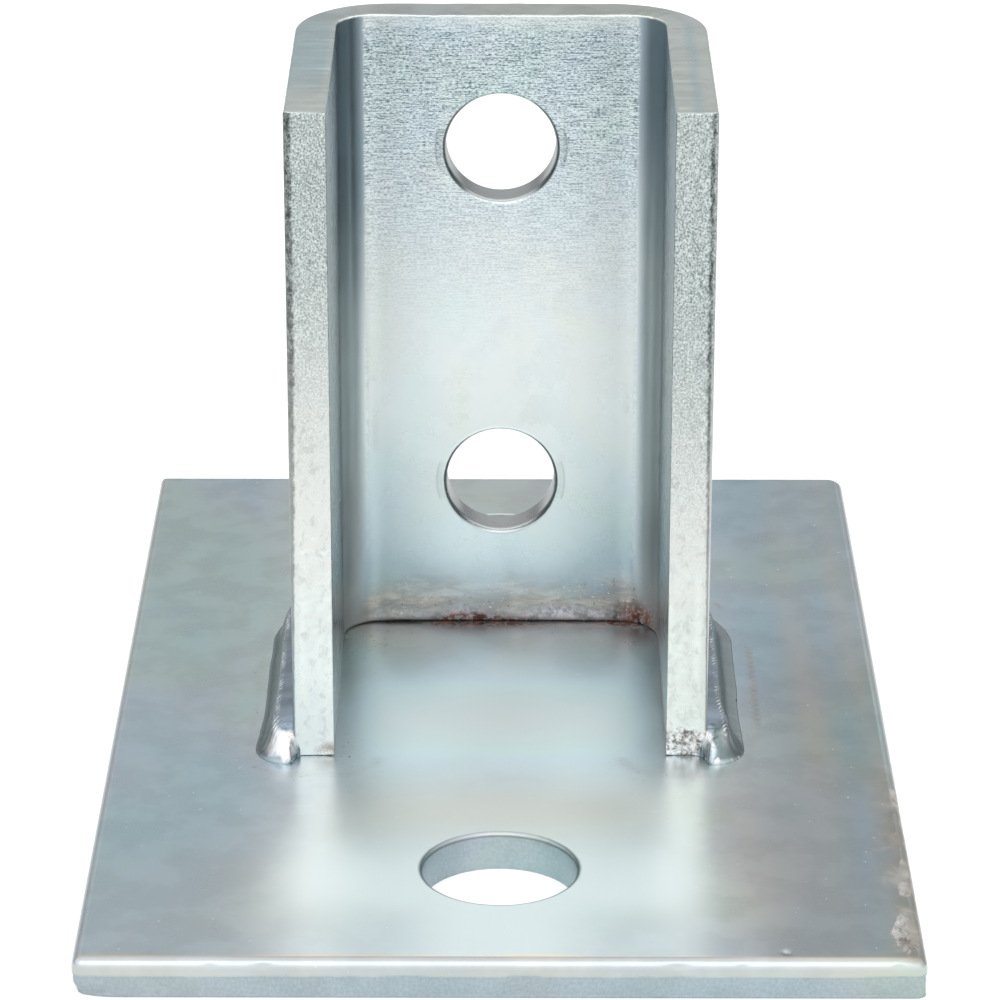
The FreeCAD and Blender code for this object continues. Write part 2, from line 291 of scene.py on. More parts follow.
class Nodes:
    # A short way to write the node tree of a material or of the world.
    def __init__(self, owner, shader="BsdfPrincipled", output="OutputMaterial"):
        owner.use_nodes = True
        self.owner = owner
        self.tree = owner.node_tree
        self.tree.nodes.clear()
        self.shader = self.new(shader)
        self.put(self.new(output).inputs["Surface"], self.shader.outputs[0])
        self.where = self.new("TexCoord").outputs

    def new(self, kind):
        return self.tree.nodes.new("ShaderNode" + kind)

    def put(self, socket, value):
        # value is a number, a colour, another node's output or the name of a mark of the mesh.
        if isinstance(value, str):
            value = self.mark(value)
        if isinstance(value, bpy.types.NodeSocket):
            self.tree.links.new(value, socket)
        else:
            socket.default_value = value

    def noise(self, x, y, z, detail=3, rough=0.55, warp=0):
        # Noise with a number of lumps per millimetre along each axis.
        scaled = self.new("VectorMath")
        scaled.operation = "MULTIPLY"
        self.put(scaled.inputs[0], self.where["Object"])
        scaled.inputs[1].default_value = (x / MM, y / MM, z / MM)
        node = self.new("TexNoise")
        self.put(node.inputs["Vector"], scaled.outputs[0])
        node.inputs["Scale"].default_value = 1
        node.inputs["Detail"].default_value = detail
        node.inputs["Roughness"].default_value = rough
        node.inputs["Distortion"].default_value = warp
        return node.outputs["Fac"]

    def mark(self, name):
        # A number that the mesh gives for each point, or 0 where it has none of that name.
        node = self.new("Attribute")
        node.attribute_name = name
        return node.outputs["Fac"]

    def math(self, operation, first, second=0, third=0, clamp_it=False):
        node = self.new("Math")
        node.operation = operation
        node.use_clamp = clamp_it
        for socket, value in zip(node.inputs, (first, second, third)):
            self.put(socket, value)
        return node.outputs[0]

    def times(self, first, second):
        return self.math("MULTIPLY", first, second, clamp_it=True)

    def without(self, first, second):
        return self.times(first, self.math("SUBTRACT", 1, second))

    def add(self, base, share, amount):
        # base and a share of an amount, kept between 0 and 1.
        return self.math("MULTIPLY_ADD", share, amount, base, clamp_it=True)

    def span(self, value, low, high, to_low=0, to_high=1):
        node = self.new("MapRange")
        node.interpolation_type = "SMOOTHSTEP"
        for socket, item in zip(node.inputs, (value, low, high, to_low, to_high)):
            self.put(socket, item)
        return node.outputs[0]

    def mix(self, share, first, second, kind="MIX"):
        node = self.new("Mix")
        node.data_type = "RGBA"
        node.blend_type = kind
        self.put(node.inputs[0], share)
        for socket, value in ((node.inputs[6], first), (node.inputs[7], second)):
            self.put(socket, value if isinstance(value, bpy.types.NodeSocket) else (*value, 1))
        return node.outputs[2]

    def dye(self, share, colour, tint):
        # The colour times a tint, as far as share says.
        return self.mix(share, colour, tint, "MULTIPLY")

    def ramp(self, value, stops):
        node = self.new("ValToRGB")
        bar = node.color_ramp
        while len(bar.elements) < len(stops):
            bar.elements.new(0.5)
        for element, (spot, colour) in zip(bar.elements, stops):
            element.position = spot
            element.color = (*colour, 1)
        self.put(node.inputs[0], value)
        return node.outputs["Color"]

    def bump(self, height, strength, distance, under=None):
        node = self.new("Bump")
        node.inputs["Strength"].default_value = strength
        node.inputs["Distance"].default_value = distance * MM
        self.put(node.inputs["Height"], height)
        if under is not None:
            self.put(node.inputs["Normal"], under)
        return node.outputs["Normal"]

    def set(self, **values):
        for name, value in values.items():
            socket = self.shader.inputs[name.replace("_", " ")]
            if isinstance(value, tuple):
                value = (*value, 1)
            self.put(socket, value)


# The faint oil-film stains of bright zinc, from blue through lilac to straw.
STAINS = ((0.28, (0.89, 1, 1.05)), (0.42, (1, 0.975, 1.06)), (0.5, (1.045, 0.975, 1)),
          (0.58, (1.04, 1.01, 0.94)), (0.7, (0.92, 1.015, 1)))
# The bands of colour along the plate's right side, from blue through plain to rose.
HUES = ((0, (0.87, 0.99, 1.08)), (0.5, (1, 1, 1)), (1, (1.14, 1.03, 0.97)))
# What lies on the zinc, and the mill's dashes on the bracket.
SCORCH = ((0.32, (0.15, 0.135, 0.115)), (0.47, (0.35, 0.325, 0.29)), (0.62, (0.53, 0.515, 0.485)))
DUST = ((0.35, (0.46, 0.46, 0.51)), (0.56, (0.88, 0.87, 0.91)))
RUST = ((0.36, (0.06, 0.022, 0.016)), (0.5, (0.17, 0.052, 0.035)), (0.64, (0.30, 0.125, 0.09)))
CRUST = ((0.36, (0.17, 0.155, 0.135)), (0.45, (0.42, 0.41, 0.39)), (0.54, (0.70, 0.70, 0.69)),
         (0.64, (0.86, 0.86, 0.85)))
DASHES = ((0.41, (0.19, 0.27, 0.33)), (0.48, (0.63, 0.72, 0.79)), (0.56, (1.06, 1.12, 1.17)))
DARK_SPECK = (0.13, 0.115, 0.10)
PALE_SPECK = (0.84, 0.84, 0.83)
SEAM_SHADE = (0.022, 0.015, 0.012)


def zinc(name, tint, stain_size, stain_share):
    nodes = Nodes(bpy.data.materials.new(name))
    stain = nodes.noise(1 / stain_size, 0.6 / stain_size, 1 / stain_size, 2, 0.5, 0.8)
    mottle = nodes.noise(0.16, 0.16, 0.16, 3, 0.6)
    colour = nodes.dye(stain_share, tint, nodes.ramp(stain, STAINS))
    colour = nodes.dye(1, colour, nodes.span(mottle, 0.42, 0.58, 0.965, 1.025))
    return nodes, colour, mottle


def finish_zinc(nodes, colour, roughness, normal):
    # Scorch, white deposit, spatter and rust lie over the zinc, and near-black painted shade fills the seam.
    fleck = nodes.noise(1.7, 1.7, 1.7, 3, 0.65)
    blotch = nodes.noise(0.5, 0.5, 0.5, 2, 0.6)
    smear = nodes.noise(0.15, 0.15, 0.55, 4, 0.7, 0.4)
    grit = nodes.noise(1.5, 1.5, 2, 3, 0.7)
    scorch = nodes.times("scorch", nodes.span(smear, 0.28, 0.58, 0.35, 1))
    dust = nodes.times("dust", nodes.span(blotch, 0.36, 0.54))
    rust = nodes.times("rust", nodes.span(fleck, 0.36, 0.54))
    # Painted shade: near-black in the open seam under the web's foot.
    painted_seam_shade = nodes.times("painted_seam_shade", nodes.span(fleck, 0.30, 0.42, 0.55, 1))
    colour = nodes.mix(scorch, colour, nodes.ramp(smear, SCORCH))
    colour = nodes.mix(dust, colour, nodes.ramp(fleck, DUST))
    colour = nodes.mix(nodes.times("spatter", nodes.span(grit, 0.37, 0.33)), colour, DARK_SPECK)
    colour = nodes.mix(nodes.times("spatter", nodes.span(grit, 0.64, 0.68)), colour, PALE_SPECK)
    colour = nodes.mix(rust, colour, nodes.ramp(blotch, RUST))
    colour = nodes.mix(painted_seam_shade, colour, SEAM_SHADE)
    roughness = nodes.add(roughness, scorch, 0.18)
    metal = 1
    for coat, rough, cover in ((dust, 0.25, 0.5), (painted_seam_shade, 0.4, 0.9), (rust, 0.35, 0.9)):
        roughness = nodes.add(roughness, coat, rough)
        metal = nodes.add(metal, coat, -cover)
    nodes.set(Base_Color=colour, Roughness=roughness, Normal=normal, Metallic=metal)
    return nodes.owner


def sheared_look(nodes, colour, roughness, lumps, low, high):
    # A sheared face is granular: brighter and darker grains where the metal tore.
    torn = nodes.noise(lumps, lumps, lumps * 0.85, 3, 0.65)
    colour = nodes.dye("shear", colour, nodes.ramp(torn, ((0.37, low), (0.63, high))))
    return colour, nodes.add(roughness, "shear", 0.12), torn


def crusted(nodes, colour, roughness, lumps, rough):
    # Pale crust with brown-grey hollows and a ragged border.
    pits = nodes.noise(lumps, lumps * 0.42, lumps, 3, 0.7)
    here = nodes.span(nodes.math("MULTIPLY_ADD", pits, 0.8, "scab"), 0.72, 0.9)
    return nodes.mix(here, colour, nodes.ramp(pits, CRUST)), nodes.add(roughness, here, rough)


def plate_material():
    nodes, colour, mottle = zinc("zinc_plate", (0.66, 0.755, 0.765), 34, 0.7)
    colour = nodes.dye("film", colour, (0.80, 0.775, 0.77))
    # Painted shade on the plate's sides and on the sides of the holes' walls.
    colour = nodes.dye("side", colour, (0.82, 0.87, 0.88))
    colour = nodes.dye(1, colour, nodes.ramp("hue", HUES))
    # Painted reflection: pale pools of light in front of the bracket, where the zinc is also rougher.
    colour = nodes.mix("haze_and_painted_light", colour, (0.88, 0.95, 0.95))
    colour = nodes.mix("warm", colour, (0.76, 0.76, 0.715))
    flecks = nodes.span(nodes.noise(1.3, 1.3, 1.3, 2, 0.5), 0.73, 0.78)
    colour = nodes.mix(flecks, colour, (0.93, 0.95, 0.94))
    roughness = nodes.add(nodes.span(mottle, 0.3, 0.7, 0.27, 0.31), "haze_and_painted_light", 0.14)
    colour = nodes.dye("bored", colour, (1.06, 1.07, 1.12))
    colour = nodes.dye("cool", colour, (1.07, 1.17, 1.25))
    dark_grain, pale_grain = (0.52, 0.55, 0.555), (0.59, 0.635, 0.64)
    colour, roughness, torn = sheared_look(nodes, colour, roughness, 2.6, dark_grain, pale_grain)
    colour = nodes.dye("burnish", colour, (0.76, 0.73, 0.665))
    # Painted shade that dims the highlight on the front edge's roll and on the holes' rims.
    colour = nodes.dye("bright", colour, (0.66, 0.635, 0.61))
    colour = nodes.dye("straw", colour, (1.25, 0.98, 0.78))
    # Painted shade on the roll of the plate's long sides.
    colour = nodes.dye("rolled", colour, (0.50, 0.50, 0.51))
    colour, roughness = crusted(nodes, colour, roughness, 1.1, 0.25)
    normal = nodes.bump(nodes.math("MULTIPLY", torn, "shear"), 0.12, 0.1)
    return finish_zinc(nodes, colour, roughness, normal)


def bracket_material():
    nodes, colour, mottle = zinc("zinc_bracket", (0.685, 0.735, 0.71), 26, 0.4)
    # The web keeps the mill's rows of fine dashes; the bends are smooth and painted lighter, and painted
    # shade darkens the bends higher up, the flanges' inner faces and the inside of the channel.
    rows = nodes.noise(0.35, 0.35, 5.2, 2, 0.65)
    dashes = nodes.noise(2.3, 2.3, 6, 2, 0.7)
    web = nodes.span(nodes.math("MULTIPLY_ADD", rows, 0.7, "web"), 0.76, 0.92)
    bend = nodes.without("bend", web)
    painted_shade = nodes.add("painted_shade", nodes.without("fold", web), 1)
    # Painted light on the bends, then painted shade over the bends higher up, the flanges' inner faces and
    # the inside of the channel.
    colour = nodes.mix(bend, colour, (0.90, 0.94, 0.94))
    colour = nodes.dye(painted_shade, colour, (0.44, 0.5, 0.55))
    # The flanges' ends and the top face.
    smudge = nodes.span(nodes.noise(0.9, 0.9, 0.5, 3, 0.7, 0.5), 0.32, 0.5, 0.84, 1)
    colour = nodes.mix("ends", colour, nodes.dye(1, (0.70, 0.715, 0.69), smudge))
    crown = nodes.mix("tan", (0.63, 0.79, 0.83), (0.82, 0.89, 0.85))
    colour = nodes.mix("crown", colour, crown)
    worn = nodes.math("MULTIPLY", "worn", web)
    streaks = nodes.math("ADD", nodes.math("MULTIPLY", dashes, 0.62), nodes.math("MULTIPLY", rows, 0.38))
    colour = nodes.dye(worn, colour, nodes.ramp(streaks, DASHES))
    roughness = nodes.add(nodes.span(mottle, 0.3, 0.7, 0.25, 0.31), worn, 0.12)
    roughness = nodes.add(roughness, bend, 0.1)
    dark_grain, pale_grain = (0.28, 0.335, 0.35), (0.91, 0.985, 0.99)
    colour, roughness, torn = sheared_look(nodes, colour, roughness, 4.2, dark_grain, pale_grain)
    # Rolled corners darkened by painted shade, the pressed marks beside the holes, and the holes' walls,
    # darker at their sides.
    rim = nodes.span(nodes.noise(1.6, 1.6, 1.1, 3, 0.7), 0.36, 0.66, 0.16, 0.62)
    colour = nodes.dye("rolled", colour, nodes.mix("shear", (0.46, 0.48, 0.48), rim))
    bore = nodes.mix("shade", (0.57, 0.61, 0.61), (0.21, 0.24, 0.24))
    colour = nodes.mix("bore", colour, bore)
    colour, roughness = crusted(nodes, colour, roughness, 1.5, 0.2)
    normal = nodes.bump(nodes.math("MULTIPLY", streaks, worn), 0.45, 0.06)
    normal = nodes.bump(nodes.math("MULTIPLY", torn, "shear"), 0.5, 0.1, normal)
    return finish_zinc(nodes, colour, roughness, normal)


def weld_material():
    nodes, colour, mottle = zinc("zinc_weld", (0.305, 0.385, 0.445), 9, 0.6)
    # Painted shade on the steep side and the ends, and painted highlights on the end and the crest's ripples.
    colour = nodes.mix("shade", colour, (0.16, 0.205, 0.21))
    colour = nodes.mix("wash", colour, (0.41, 0.49, 0.51))
    colour = nodes.mix("painted_highlight", colour, (0.80, 0.81, 0.82))
    roughness = nodes.span(mottle, 0.3, 0.7, 0.2, 0.28)
    normal = nodes.bump(nodes.noise(3, 3, 3, 1), 0.1, 0.05)
    return finish_zinc(nodes, colour, roughness, normal)


# The plate


# The upper edge's roll is a little wider than the part's, and the four corners differ.
PLATE_ROLL = 1.2
PLATE_CORNERS = (1.3, 1.15, 2.3, 0.7)
FOOT_BREAK = 0.12
PLATE_HEIGHTS = (0, 0.1, 0.3, 0.6, 0.95, 1.3, 1.65, 2, 2.35, 2.7, 2.95, 3.15, 3.4, 3.75, 4.1,
                 4.35, 4.55, 4.7, 4.82, 4.9, 4.95, 4.985, PLATE_THICK)
PLATE_LEVELS = [z / PLATE_THICK for z in PLATE_HEIGHTS]
# Dents in the top face: x, y, half width, half length and depth.
DENTS = ((34.1, -73.9, 0.45, 0.5, 0.22), (-41.5, -73.6, 0.3, 0.5, 0.1), (49, -65, 0.7, 2.2, 0.12))
# Nicks in the front edge, as x and width, and white scabs by the right edge, as x, y, width and length.
NICKS = ((-34.3, 0.5), (-28, 1), (21.2, 1.4), (28.8, 0.4), (47.3, 0.5))
NICK_DEEP = 0.22
SCABS = ((48.9, -69.4, 1.9, 4.6), (49.6, -57.7, 0.9, 2), (49.9, -51.9, 0.7, 2.4), (50.2, -31.5, 0.5, 3.2))
# Shift that keeps the noise along the sides apart from the noise along the front and back.
SIDE_SHIFT = 300


def plate_place(u, v, w):
    dent = 0
    if w > 0.999:
        dent = sum(deep * bell(u, x, wide) * bell(v, y, long) for x, y, wide, long, deep in DENTS)
    return u, v, w * PLATE_THICK - dent


def tear_line(along):
    # Height on the plate's edge where the smooth sheared band ends and the torn metal begins.
    return 3 + 0.22 * grain(along, 4.2, 0, 9) + 0.08 * grain(along, 7.7, 0, 2)


def plate_edge(z, roll, u, v, nu, nv, side):
    # A point of the sheared edge, drawn in from the plain outline.
    run = u if side in (BOTTOM, TOP) else v + SIDE_SHIFT
    torn = smooth(tear_line(run) - z, 0, 0.25) * (1 - smooth(0.25 - z, 0, 0.2))
    draw = torn * (0.10 + 0.05 * grain(u, v, z * 1.6, 0.8) + 0.05 * grain(u, v, z * 0.3, 3.5))
    rolled = smooth(z, PLATE_THICK - PLATE_ROLL, PLATE_THICK - 0.2)
    draw += rolled * 0.04 * (1 + grain(u, v, 3.3, 6))
    if side == BOTTOM:
        draw += sum(NICK_DEEP * bell(u, spot, width) for spot, width in NICKS) * bell(z, 4.15, 0.3)
    # The long sides are hardly rolled.
    draw -= 0.55 * roll * nu * nu
    if side == RIGHT:
        lumps = max(0, grain(u, v, z, 2.4) + 0.7 * grain(u, v, z, 0.9))
        draw += 0.12 * smooth(v, 2, -22) * lumps * smooth(z, 1.5, 4.2)
    # The front left corner is worn off below.
    corner = math.hypot(u - PLATE_LOW[0], v - PLATE_LOW[1])
    draw += 0.9 * bell(corner, 0, 2.6) * smooth(z, 2.4, 0.2) ** 2
    draw = max(0, draw)
    return u - nu * draw, v - nv * draw, RIM


def plate_loop(w):
    z = w * PLATE_THICK
    roll = quarter_round(z - (PLATE_THICK - PLATE_ROLL), PLATE_ROLL)
    inset = roll + quarter_round(FOOT_BREAK - z, FOOT_BREAK)
    radii = [max(0.25, radius - roll) for radius in PLATE_CORNERS]
    left, bottom = [value + inset for value in PLATE_LOW[:2]]
    right, top = [value - inset for value in PLATE_HIGH[:2]]
    loop = rounded_loop(left, bottom, right, top, radii, (200, 300, 200, 300))
    return [plate_edge(z, roll, *point) for point in loop]


def anchor_radius(hole, angle, w):
    z = w * PLATE_THICK
    x, y = math.cos(angle) * ANCHOR_BORE, math.sin(angle) * ANCHOR_BORE
    wide = quarter_round(z - (PLATE_THICK - ANCHOR_ROLL), ANCHOR_ROLL)
    nick = 0.16 * max(0, grain(x, y, 40 + hole, 0.7)) * bell(angle, 1.05, 0.35) * smooth(z, 3.8, 4.6)
    return ANCHOR_BORE + wide + nick + 0.03 * (1 + grain(x, y, z * 1.5 + hole * 20, 1.4))


def foot_gap(x, y):
    # Distance in plan from the outside of the bracket's foot, positive outside it.
    y -= SEAT_Y
    du, dv = abs(x) - BEND_CENTRE, y - BEND_CENTRE
    if du > 0 and dv > 0:
        return math.hypot(du, dv) - BEND_OUTSIDE
    if y < -SEAT_HALF:
        return math.hypot(max(0, abs(x) - OUTER_HALF, SEAT_HALF - abs(x)), -SEAT_HALF - y)
    return max(du, dv) - BEND_OUTSIDE


def plate_edge_marks(x, y, z, rim):
    front = y - PLATE_LOW[1]
    torn = smooth(tear_line(x if abs(y) > 70 else y + SIDE_SHIFT) - z, 0, 0.2)
    rounded = smooth(z, 3.8, 4.2) * smooth(front, PLATE_ROLL, PLATE_ROLL - 0.2)
    straw = bell(front, PLATE_ROLL + 0.1, 0.45) * (0.5 + 0.5 * grain(x, 3, 0, 14))
    mark = {"shear": 0, "bored": 0, "burnish": 0}
    # Painted shade that dims the highlight on the front edge's roll, and on the holes' rims.
    mark["bright"] = rounded * (0.5 + 0.5 * smooth(z, 4.5, 4.9))
    if rim == RIM:
        mark["shear"] = torn
        mark["burnish"] = (1 - torn) * smooth(z, 4.3, 3.8)
    if rim == BORE:
        mark["shear"] = 0.9 * smooth(z, 4.9, 4.5)
        mark["bored"] = 1
        mark["bright"] = smooth(z, 4.4, 4.6)
    mark["straw"] = smooth(z, 4.75, 4.9) * straw
    # Painted shade on the roll of the long sides' upper edges.
    mark["rolled"] = smooth(abs(x), 50.1, 50.45) * smooth(z, 3.8, 4.4) * smooth(front, 0.6, 2)
    return mark


def plate_tint_marks(x, y, top, gap, rim):
    # Bands of colour, the pale pools of painted reflection in front of the bracket, which are also hazier,
    # and painted shade on the plate's sides and on the holes' walls' sides.
    mark = {}
    film = smooth(x + 5 * grain(x, y, 7, 25), 24, 40) * (1 - 0.75 * smooth(y, 0, 30))
    mark["film"] = top * film
    across = x + 1.6 * grain(x * 0.3, y * 0.2, 5, 8)
    band = smooth(x, 24, 33) * smooth(across, 43.5, 39.5)
    rose = 0.8 * smooth(y, -20, -40) * smooth(y, -74, -58) * band
    rose += 0.9 * bell(across, 40.5, 2.2) * bell(y, -4, 30) + 0.7 * bell(across, 48.3, 1)
    blue = 0.55 * smooth(y, -18, 6) * smooth(x, 24, 31) * smooth(across, 40, 37)
    blue += 0.3 * smooth(x, -26, -34) * smooth(y, -50, -25)
    blue += 0.5 * bell(across, 44.8, 1.8) * smooth(y, 60, 40)
    mark["hue"] = 0.5 + 0.5 * top * clamp(rose - blue, -1, 1)
    # Painted reflection: pools of light in front of the bracket.
    lit = bell(y, -9, 20) * smooth(abs(x), 25, 15) * smooth(gap, 5, 22)
    lit += 0.75 * bell(x, 16, 7) * bell(y, -33, 8)
    pool = smooth(y, -30, -56) * smooth(x, -33, -23) * smooth(x, 28, 20.5)
    pool *= 1 - 0.5 * smooth(y, -58, -68) * smooth(abs(x), 4, 14)
    mark["haze_and_painted_light"] = top * clamp(lit + pool)
    mark["warm"] = top * bell(y, -36, 8) * smooth(abs(x), 28, 12)
    mark["cool"] = top * bell(y, -8, 15) * smooth(abs(x), 24, 12) * smooth(gap, 8, 24)
    # Painted shade on the sides of the holes' walls and on the plate's sides.
    if rim == BORE:
        mark["side"] = smooth(abs(x), 2.5, 7.5)
    else:
        weak = 0.25 * smooth(y, -50, -25) if x <= 0 else 0
        mark["side"] = top * smooth(abs(x), 27, 38) * (1 - weak)
    return mark


def plate_dirt_marks(x, y, z, top, gap):
    mark = {}
    right = 1 if x > 0 else 0
    seat = smooth(abs(x), 22, 19) * smooth(gap, -0.5, 0)
    out = foot_gap(x, y)
    edge = PLATE_HIGH[0] - x
    # A brown strip with white scabs along the right edge.
    strip = smooth(edge + 1.2 * grain(x, y * 0.5, 2, 3), 6, 0.4) * smooth(y, -6, -46)
    spotty = smooth(grain(x, y * 0.5, 8, 1.6), 0, 0.6)
    strip += 0.5 * spotty * smooth(edge, 2.6, 0.8) * smooth(y, -16, -40)
    scab = sum(bell(x, sx, wide) * bell(y, sy, long) for sx, sy, wide, long in SCABS)
    mark["scab"] = clamp(scab) * smooth(z, 3.6, 4.6)
    # Rust in the seam, and two brown scratches on the right.
    seam = top * seat * bell(gap, 0.3, 1.1) * smooth(x, -13, -8)
    line = bell(out, 7.1, 0.4) * smooth(y, -13, -9) * smooth(y, 16, 12)
    slant = 0.72 * (x - 30.4) + 0.6 * (y - 28.4)
    line += bell(slant, 0, 0.3) * bell(x, 30.4, 1.1) * bell(y, 28.4, 2)
    line *= top * right
    rusty = seam * (0.45 + 1.5 * bell(x, -3, 6) + 1.5 * bell(x, 18, 3.5))
    mark["rust"] = clamp(rusty + 0.2 * line)
    toe = max(0, bell(out, 5.6, 0.8) * (0.5 + 0.5 * grain(x, y, 4, 6)))
    brown = 0.5 * seat * smooth(gap, 6, 0.5) + 0.3 * toe + 0.75 * line + 0.95 * strip
    brown += 0.9 * bell(x, 50.3, 0.6) * bell(y, -75, 1.6)
    mark["scorch"] = clamp(smooth(z, 4, 4.8) * brown)
    mark["dust"] = 0.6 * top * seat * bell(gap, 1, 0.7) * bell(x, 12, 9)
    crackle = bell(x, -18, 3.5) * bell(gap, 7, 5) + bell(x, -20, 2) * bell(y, -19, 4)
    spray = 0.35 * bell(out, 5.5, 2.5) if out > 0 else 0
    mark["spatter"] = top * clamp(0.6 * seat * smooth(gap, 9, 1) + crackle + spray)
    return mark


def plate_marks(x, y, z, w, rim):
    top = 1 if w > 0.998 else 0
    gap = SEAT_Y + SEAT_HALF - y
    return {**plate_edge_marks(x, y, z, rim), **plate_tint_marks(x, y, top, gap, rim),
            **plate_dirt_marks(x, y, z, top, gap)}


def plate_piece():
    holes = ((0, -ANCHOR_Y), (0, ANCHOR_Y))
    fines = ((-37, -30, 37, 40, 0.75), (45, -74.6, 50, -26, 0.4), (32.3, -74.7, 36, -72.6, 0.22))
    sheet = make_sheet(plate_place, PLATE_LEVELS, plate_loop, holes, anchor_radius, 160, (4, 1.6),
                       ((), fines))
    marks = [plate_marks(*point, *spot[2:]) for point, spot in zip(sheet.points, sheet.spots)]
    make_object("plate_with_holes", sheet.points, sheet.faces, "base_plate",
                plate_material(), marks)


# The bracket: u runs along the sheet from the left flange's end, v up and w from inside to outside.


BRACKET_DEPTHS = (0, 0.03, 0.08, 0.16, 0.3, 0.5, 0.8, 1.1, 1.4, 1.7, 2, 2.4, 2.8, 3.2, 3.6, 3.9, 4.2,
                  4.45, 4.65, 4.82, 4.95, 5.05, 5.14, 5.21, 5.26, WALL)
BRACKET_LEVELS = [depth / WALL for depth in BRACKET_DEPTHS]
MIDDLE = SHEET_RUN / 2
# Where the inside of a bend meets the web and the flange, measured along the sheet from its middle.
BEND_NEAR = WEB_RUN / 2 + BEND_RUN * LEAD / ROOT_RUN
BEND_FAR = WEB_RUN / 2 + BEND_RUN - BEND_RUN * LEAD / ROOT_RUN
END_BURR = 0.16
TOP_BURR = 0.1
BORE_ROLL = 0.5
SEAM_DEEP = 0.6
# Shift that keeps the noise of the right flange apart from the left one's.
FLANGE_SHIFT = 50


def bend_place(share, w):
    # A point in a bend, seen from above: share goes from flange to web, w from inside to outside.
    angle = share * math.pi / 2
    outer = (BEND_CENTRE + BEND_OUTSIDE * math.cos(angle), BEND_CENTRE + BEND_OUTSIDE * math.sin(angle))
    run = share * ROOT_RUN
    turn = clamp((run - LEAD) / BEND_INSIDE, 0, math.pi / 2)
    inner = (ROOT_CENTRE + BEND_INSIDE * math.cos(turn) - max(0, run - ROOT_RUN + LEAD),
             ROOT_CENTRE + BEND_INSIDE * math.sin(turn) - max(0, LEAD - run))
    return [a + (b - a) * w for a, b in zip(inner, outer)]


def bracket_place(u, v, w):
    side = -1 if u < MIDDLE else 1
    reach = min(u, SHEET_RUN - u)
    depth = w * WALL
    if reach < FLANGE_RUN:
        x, y = SEAT_HALF + depth, reach - SEAT_HALF
    elif reach < FLANGE_RUN + BEND_RUN:
        x, y = bend_place((reach - FLANGE_RUN) / BEND_RUN, w)
    else:
        x, y = FLANGE_RUN + BEND_RUN + BEND_CENTRE - reach, SEAT_HALF + depth
    return side * x, y + SEAT_Y, v + BRACKET_LOW[2]


def seam_gap(x):
    # How far the web's foot stands off the plate along its inner edge.
    return clamp(0.42 + 0.12 * grain(x, 0, 6, 4) + 0.08 * grain(x, 9, 6, 1.2), 0.2, 0.6)


def roll_width(flange, v, share):
    # Width of the rolled outer corner of a flange's end: narrow at the foot, wide and ragged near the top.
    high = smooth(v, 4, 62)
    ragged = 0.14 * grain(flange, v, 7, 1.1) + 0.12 * grain(flange, v, 2, 0.4)
    return SHEAR_ROLL * clamp(0.28 + 0.58 * high + (0.2 + high) * ragged * share, 0.15, 1)


def end_pull(u, v, depth):
    # How far a flange's end stands back: its rolled outer corner, torn grains and the crust by its foot.
    flange = 0 if u < MIDDLE else FLANGE_SHIFT
    wide = roll_width(flange, v, 0.4)
    torn = smooth(depth, 4.3, 3.5)
    pull = quarter_round(depth - (WALL - wide), wide) + 0.05 * (1 + grain(flange, v, 0, 14))
    pull += torn * (0.07 + 0.05 * grain(flange, v, depth, 0.9) + 0.05 * grain(flange, v, depth, 4))
    if flange:
        pull += torn * 0.14 * smooth(v, 5, 3) * (1 + grain(flange, v, depth, 0.8))
    return max(0, pull)


def top_draw(u, w):
    # How far the top edge stands down: a slight sag of the web, unevenness and the burr of its inner edge.
    depth = w * WALL
    draw = (1 - w) * 0.12 * smooth(abs(u - MIDDLE), 20, 6)
    draw += 0.05 * (1 + grain(u, 0, depth, 5)) + 0.05 * (1 - w) * (1 + grain(u, 5, 0, 0.9))
    return draw + 0.08 * smooth(depth, 0.3, 0) * max(0, 0.6 + 1.6 * grain(u, 2, 0, 0.6))


def foot_draw(u, w):
    # How far the foot stands up along its inner edge: the rounded flanges and the open seam under the web.
    depth = w * WALL
    off = abs(u - MIDDLE)
    high = 0.9 if u < MIDDLE else 0.35
    draw = high * quarter_round(1 - depth, 1) * smooth(MIDDLE - off, 16, 1)
    seam = seam_gap(u) * (0.25 + 0.75 * smooth(off, 20, 13)) * smooth(off, 34, 25) + 0.1
    return max(draw, seam * quarter_round(SEAM_DEEP - depth, SEAM_DEEP) / SEAM_DEEP)


def bracket_loop(w):
    depth = w * WALL
    burr = quarter_round(END_BURR - depth, END_BURR)
    top = quarter_round(depth - (WALL - TOP_BREAK), TOP_BREAK) + quarter_round(TOP_BURR - depth, TOP_BURR)
    loop = rounded_loop(burr, 0, SHEET_RUN - burr, HEIGHT - top, [0.3] * 4, (200, 400, 400, 400), 4)
    out = []
    for u, v, _, nv, side in loop:
        draw = 0
        if side == TOP:
            draw = max(0, top_draw(u, w))
        elif side == BOTTOM:
            draw = max(0, foot_draw(u, w))
        reach = MIDDLE - abs(u - MIDDLE)
        pull = end_pull(u, v, depth) * smooth(reach, 3.5, 0.6) if reach < 3.5 else 0
        kind = END if side in (LEFT, RIGHT) else RIM
        out.append((u + math.copysign(pull, MIDDLE - u), v - nv * draw, kind))
    return out


def web_radius(hole, angle, w):
    depth = w * WALL
    lip = WEB_FLARE / WEB_FLARE_DEEP * quarter_round(WEB_FLARE_DEEP - depth, WEB_FLARE_DEEP)
    roll = quarter_round(depth - (WALL - BORE_ROLL), BORE_ROLL)
    rough = 0.02 * (1 + grain(math.cos(angle) * 7, math.sin(angle) * 7, depth + hole * 30, 0.8))
    return WEB_BORE + lip + roll + rough * (1 - w)


